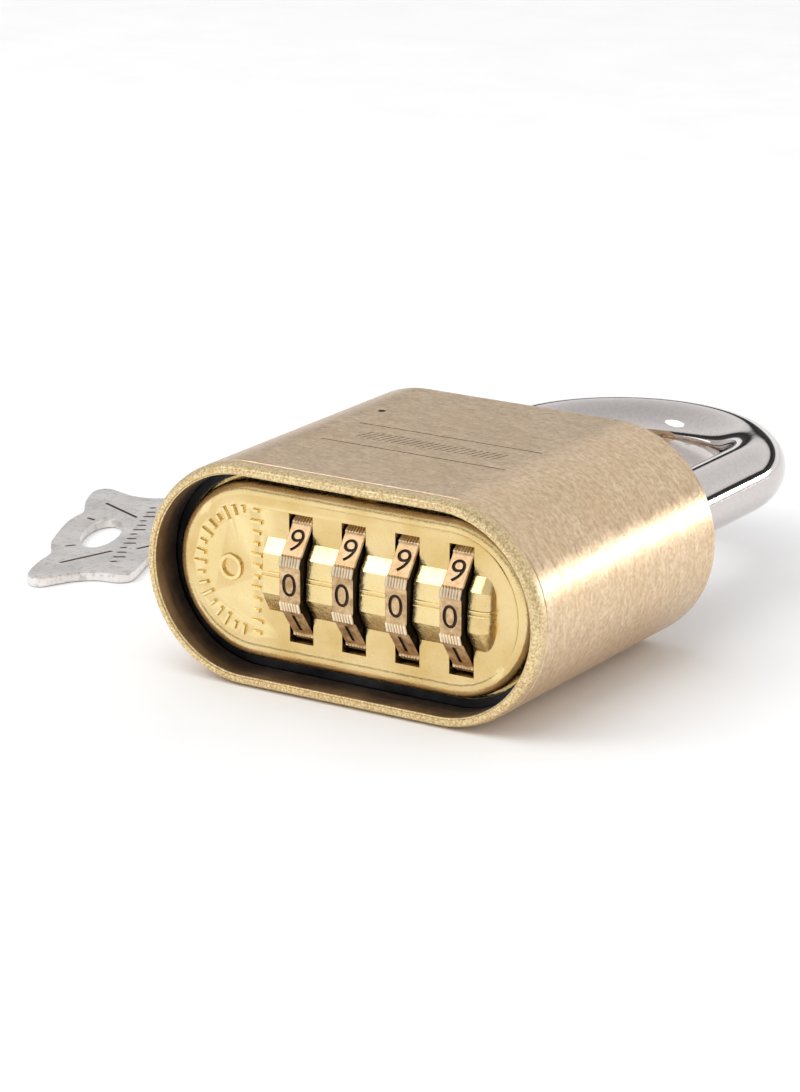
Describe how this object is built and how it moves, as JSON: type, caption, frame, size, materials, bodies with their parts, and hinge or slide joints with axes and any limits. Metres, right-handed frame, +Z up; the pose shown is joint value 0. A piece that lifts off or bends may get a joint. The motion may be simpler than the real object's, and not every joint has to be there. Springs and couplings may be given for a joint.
{
  "type": "combination padlock",
  "caption": "Brass padlock with number dials in its end face, a round steel shackle and a flat change key lying beside it.",
  "frame": {"origin": "centre of the flat back face that the lock lies on", "axes": "+X across the lock's width, to the right seen from the dial end; +Y from the dials towards the shackle; +Z up, out of the front face"},
  "size_m": [0.096, 0.0818, 0.0254],
  "materials": {
    "body_brass": "satin, brushed across the lock",
    "cover_brass": "cast, lightly polished",
    "dial_brass": "machined, with darkened figures",
    "chrome": "polished chrome on hardened steel",
    "steel": "plain",
    "spring_steel": "oil blackened",
    "zinc": "as cast",
    "nickel": "matt nickel plate"
  },
  "bodies": {
    "case": {"lock_body": "body_brass", "dial_cover": "cover_brass", "cover_snap_ring": "spring_steel", "mechanism_cage": "steel", "detent_comb": "spring_steel", "spindle_spring": "spring_steel", "cage_screw_1": "steel", "cage_screw_2": "steel", "cage_screw_3": "steel", "cage_screw_4": "steel", "ejector_spring_1": "spring_steel", "ejector_spring_2": "spring_steel", "cam_plate": "steel", "cam_screw_1": "steel", "cam_screw_2": "steel"},
    "dial_1": {"dial_wheel_1": "dial_brass"},
    "dial_2": {"dial_wheel_2": "dial_brass"},
    "dial_3": {"dial_wheel_3": "dial_brass"},
    "dial_4": {"dial_wheel_4": "dial_brass"},
    "sleeve_1": {"gate_sleeve_1": "zinc"},
    "sleeve_2": {"gate_sleeve_2": "zinc"},
    "sleeve_3": {"gate_sleeve_3": "zinc"},
    "sleeve_4": {"gate_sleeve_4": "zinc"},
    "cam": {"change_cam": "steel"},
    "spindle_set": {"spindle": "steel", "sleeve_clip_1": "spring_steel", "sleeve_clip_2": "spring_steel", "sleeve_clip_3": "spring_steel", "sleeve_clip_4": "spring_steel"},
    "shackle_set": {"shackle": "chrome", "latch_carriage": "steel"},
    "key": {"change_key": "nickel"}
  },
  "joints": [
    {"name": "dial_1_turn", "type": "hinge", "parent": "case", "child": "dial_1", "pos_m": [-0.00637, -0.0111, 0.0127], "axis": [1, 0, 0], "continuous": true},
    {"name": "dial_2_turn", "type": "hinge", "parent": "case", "child": "dial_2", "pos_m": [0.00047, -0.0111, 0.0127], "axis": [1, 0, 0], "continuous": true},
    {"name": "dial_3_turn", "type": "hinge", "parent": "case", "child": "dial_3", "pos_m": [0.00732, -0.0111, 0.0127], "axis": [1, 0, 0], "continuous": true},
    {"name": "dial_4_turn", "type": "hinge", "parent": "case", "child": "dial_4", "pos_m": [0.01418, -0.0111, 0.0127], "axis": [1, 0, 0], "continuous": true},
    {"name": "change_cam_turn", "type": "hinge", "parent": "case", "child": "cam", "pos_m": [-0.01544, 0, 0.0127], "axis": [0, 1, 0], "range_deg": [0, 90]},
    {"name": "spindle_shift", "type": "slide", "parent": "case", "child": "spindle_set", "axis": [1, 0, 0], "range_m": [0, 0.001]},
    {"name": "sleeve_1_shift", "type": "slide", "parent": "dial_1", "child": "sleeve_1", "axis": [1, 0, 0], "range_m": [0, 0.001]},
    {"name": "sleeve_2_shift", "type": "slide", "parent": "dial_2", "child": "sleeve_2", "axis": [1, 0, 0], "range_m": [0, 0.001]},
    {"name": "sleeve_3_shift", "type": "slide", "parent": "dial_3", "child": "sleeve_3", "axis": [1, 0, 0], "range_m": [0, 0.001]},
    {"name": "sleeve_4_shift", "type": "slide", "parent": "dial_4", "child": "sleeve_4", "axis": [1, 0, 0], "range_m": [0, 0.001]},
    {"name": "shackle_slide", "type": "slide", "parent": "case", "child": "shackle_set", "axis": [0, 1, 0], "range_m": [0, 0.0105]},
    {"name": "key_lift", "type": "slide", "parent": "case", "child": "key", "axis": [0, 0, 1], "range_m": [0, 0.04]}
  ],
  "couplings": [
    {"joint": "change_cam_turn", "follows": "spindle_shift", "rad_per_m": 1570.8},
    {"joint": "sleeve_1_shift", "follows": "spindle_shift", "ratio": 1},
    {"joint": "sleeve_2_shift", "follows": "spindle_shift", "ratio": 1},
    {"joint": "sleeve_3_shift", "follows": "spindle_shift", "ratio": 1},
    {"joint": "sleeve_4_shift", "follows": "spindle_shift", "ratio": 1}
  ]
}
